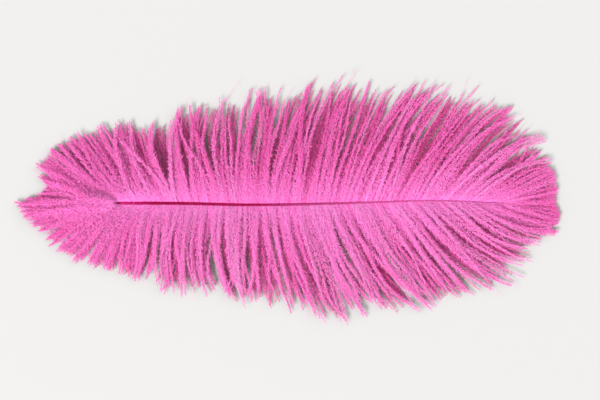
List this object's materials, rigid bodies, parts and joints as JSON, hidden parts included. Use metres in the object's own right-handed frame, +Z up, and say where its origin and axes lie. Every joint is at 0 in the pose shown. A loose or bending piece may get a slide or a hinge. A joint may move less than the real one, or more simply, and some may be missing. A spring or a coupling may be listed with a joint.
{
  "type": "ostrich plume",
  "caption": "Hot-pink dyed ostrich plume lying flat: a hollow quill, a springy tapering shaft and soft drooping barbs on both sides, fanned over the quill and the tip.",
  "frame": {"origin": "bottom centre of the plume's box, on the surface that it lies on", "axes": "+X along the shaft from the quill to the tip, +Y towards the left vane, +Z up from the surface that the plume lies on"},
  "size_m": [0.3536, 0.1512, 0.0177],
  "materials": {
    "barbs": "hot-pink dyed ostrich barbs, soft and dull with a slight silky sheen",
    "down": "hot-pink dyed down, soft and dull",
    "shaft_horn": "dyed horn, dark crimson, satin",
    "quill_horn": "dyed hollow horn, thin-walled and slightly translucent, satin",
    "pith": "pale pink foam pith, matt"
  },
  "bodies": {
    "quill_end": {"calamus": "quill_horn", "pulp_caps": "pith", "rachis_1": "shaft_horn", "pith_1": "pith", "left_down_1": "down", "left_down_2": "down", "right_down_1": "down", "right_down_2": "down", "left_barbs_01": "barbs", "right_barbs_01": "barbs", "left_barbs_02": "barbs", "right_barbs_02": "barbs", "left_barbs_03": "barbs", "right_barbs_03": "barbs"},
    "length_2": {"rachis_2": "shaft_horn", "pith_2": "pith", "left_barbs_04": "barbs", "right_barbs_04": "barbs", "left_barbs_05": "barbs", "right_barbs_05": "barbs", "left_barbs_06": "barbs", "right_barbs_06": "barbs"},
    "length_3": {"rachis_3": "shaft_horn", "pith_3": "pith", "left_barbs_07": "barbs", "right_barbs_07": "barbs", "left_barbs_08": "barbs", "right_barbs_08": "barbs", "left_barbs_09": "barbs", "right_barbs_09": "barbs"},
    "length_4": {"rachis_4": "shaft_horn", "pith_4": "pith", "left_barbs_10": "barbs", "right_barbs_10": "barbs", "left_barbs_11": "barbs", "right_barbs_11": "barbs", "left_barbs_12": "barbs", "right_barbs_12": "barbs"},
    "length_5": {"rachis_5": "shaft_horn", "pith_5": "pith", "left_barbs_13": "barbs", "right_barbs_13": "barbs", "left_barbs_14": "barbs", "right_barbs_14": "barbs", "left_barbs_15": "barbs", "right_barbs_15": "barbs"},
    "length_6": {"rachis_6": "shaft_horn", "left_barbs_16": "barbs", "right_barbs_16": "barbs", "left_barbs_17": "barbs", "right_barbs_17": "barbs", "left_barbs_18": "barbs", "right_barbs_18": "barbs", "left_tip_barbs": "barbs", "right_tip_barbs": "barbs"}
  },
  "joints": [
    {"name": "shaft_flex_1", "type": "hinge", "parent": "quill_end", "child": "length_2", "pos_m": [-0.06946, -0.00578, 0.01196], "axis": [0, -1, 0], "range_deg": [-4, 10], "stiffness_Nm_per_rad": 0.03},
    {"name": "shaft_flex_2", "type": "hinge", "parent": "length_2", "child": "length_3", "pos_m": [-0.02811, -0.00667, 0.0145], "axis": [0, -1, 0], "range_deg": [-5, 14], "stiffness_Nm_per_rad": 0.02},
    {"name": "shaft_flex_3", "type": "hinge", "parent": "length_3", "child": "length_4", "pos_m": [0.01331, -0.00616, 0.01562], "axis": [0, -1, 0], "range_deg": [-6, 18], "stiffness_Nm_per_rad": 0.012},
    {"name": "shaft_flex_4", "type": "hinge", "parent": "length_4", "child": "length_5", "pos_m": [0.05472, -0.00502, 0.01511], "axis": [0, -1, 0], "range_deg": [-8, 24], "stiffness_Nm_per_rad": 0.006},
    {"name": "shaft_flex_5", "type": "hinge", "parent": "length_5", "child": "length_6", "pos_m": [0.09608, -0.00398, 0.01286], "axis": [0, -1, 0], "range_deg": [-10, 30], "stiffness_Nm_per_rad": 0.003}
  ]
}
